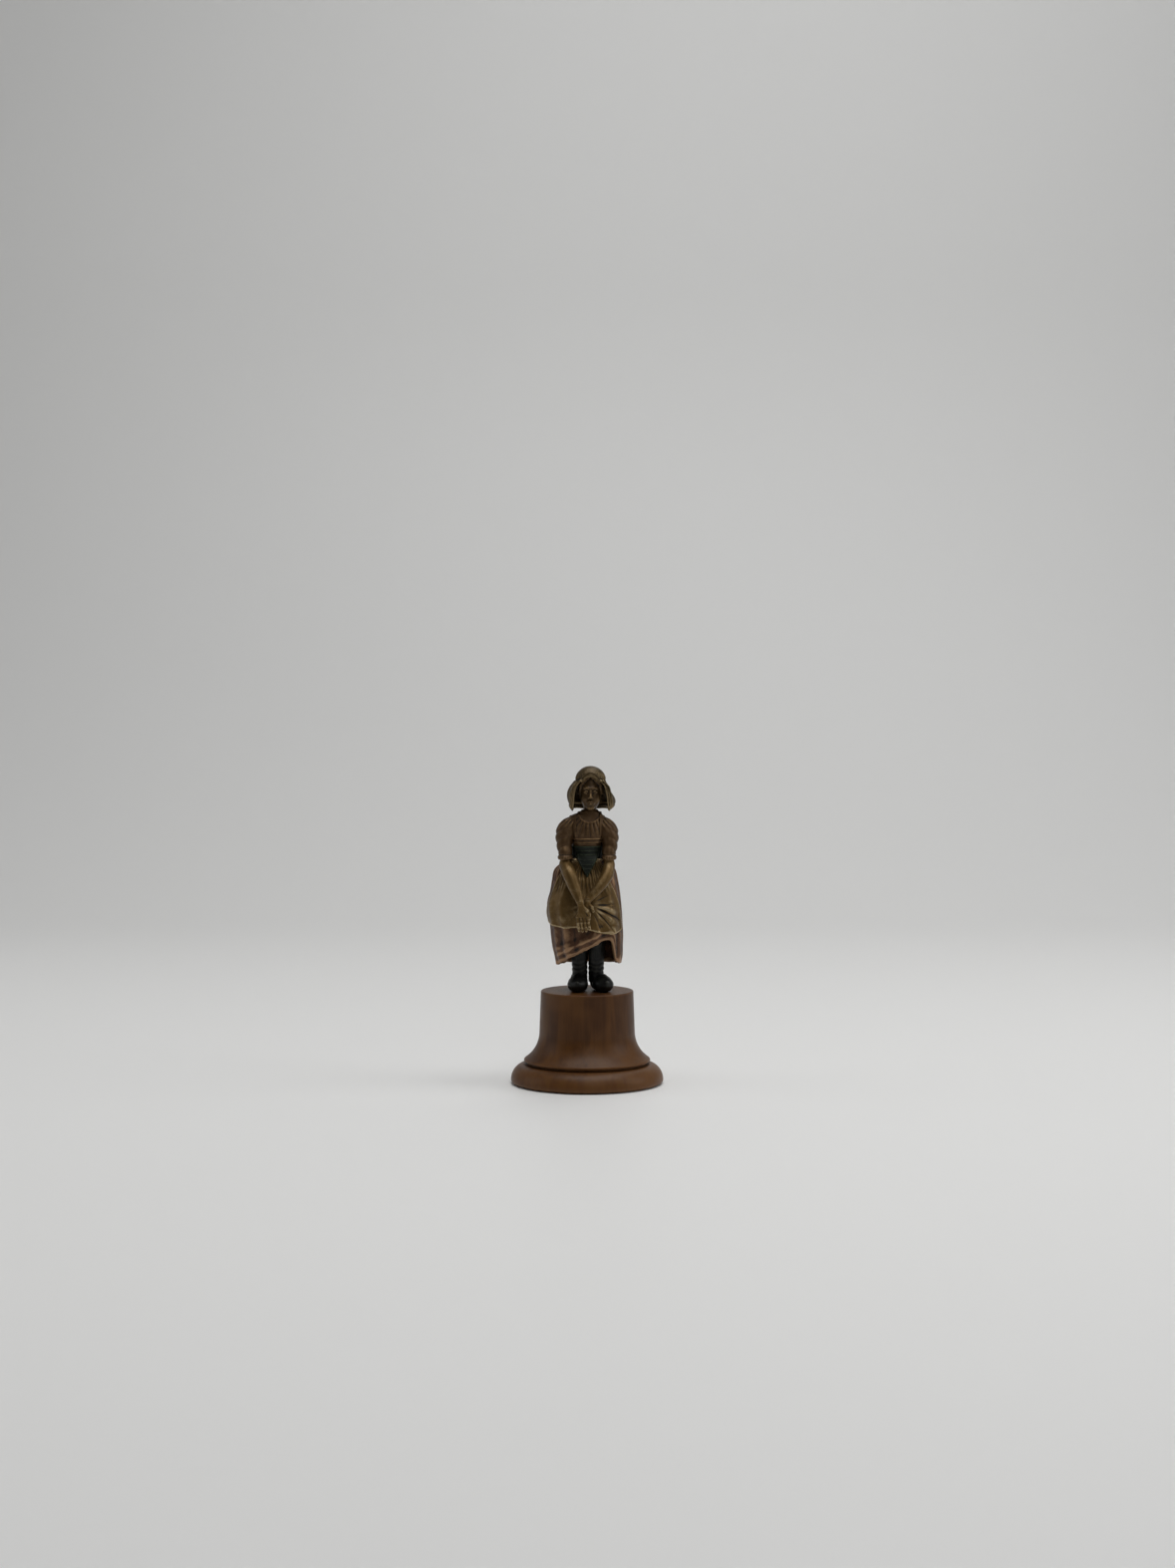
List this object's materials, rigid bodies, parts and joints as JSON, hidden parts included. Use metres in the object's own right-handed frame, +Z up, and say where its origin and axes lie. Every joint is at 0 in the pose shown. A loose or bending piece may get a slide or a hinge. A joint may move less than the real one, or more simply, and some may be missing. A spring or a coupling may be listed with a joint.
{
  "type": "souvenir figurine",
  "caption": "Small patinated bronze figurine of a girl in a winged bonnet, apron and clogs, hands crossed in front, on a turned round base.",
  "frame": {"origin": "centre of the felt underside of the base, on the base's turning axis", "axes": "+Z up along the base's turning axis; the girl faces -Y, and +X is on her left side"},
  "size_m": [0.053, 0.053, 0.1103],
  "materials": {
    "base_wood": "satin",
    "bronze_brown": "satin",
    "bronze_olive": "satin",
    "bronze_green": "satin",
    "bronze_black": "satin",
    "steel": "satin",
    "brass": "satin",
    "felt": "matte"
  },
  "bodies": {
    "root": {"plinth": "base_wood", "foot": "base_wood", "felt_pad": "felt", "foot_studs": "brass", "stud_washers": "steel", "stud_nuts": "brass", "right_clog": "bronze_black", "left_clog": "bronze_black", "right_leg": "bronze_black", "left_leg": "bronze_black", "leg_bridge": "bronze_brown", "waist_screw": "steel", "skirt": "bronze_brown", "apron": "bronze_olive", "torso": "bronze_brown", "bodice": "bronze_green", "chest_band": "bronze_brown", "right_sleeve": "bronze_brown", "left_sleeve": "bronze_brown", "shoulder_pins": "steel", "right_arm": "bronze_olive", "left_arm": "bronze_olive", "head": "bronze_brown", "neck_pin": "steel", "bonnet": "bronze_olive"}
  },
  "joints": []
}
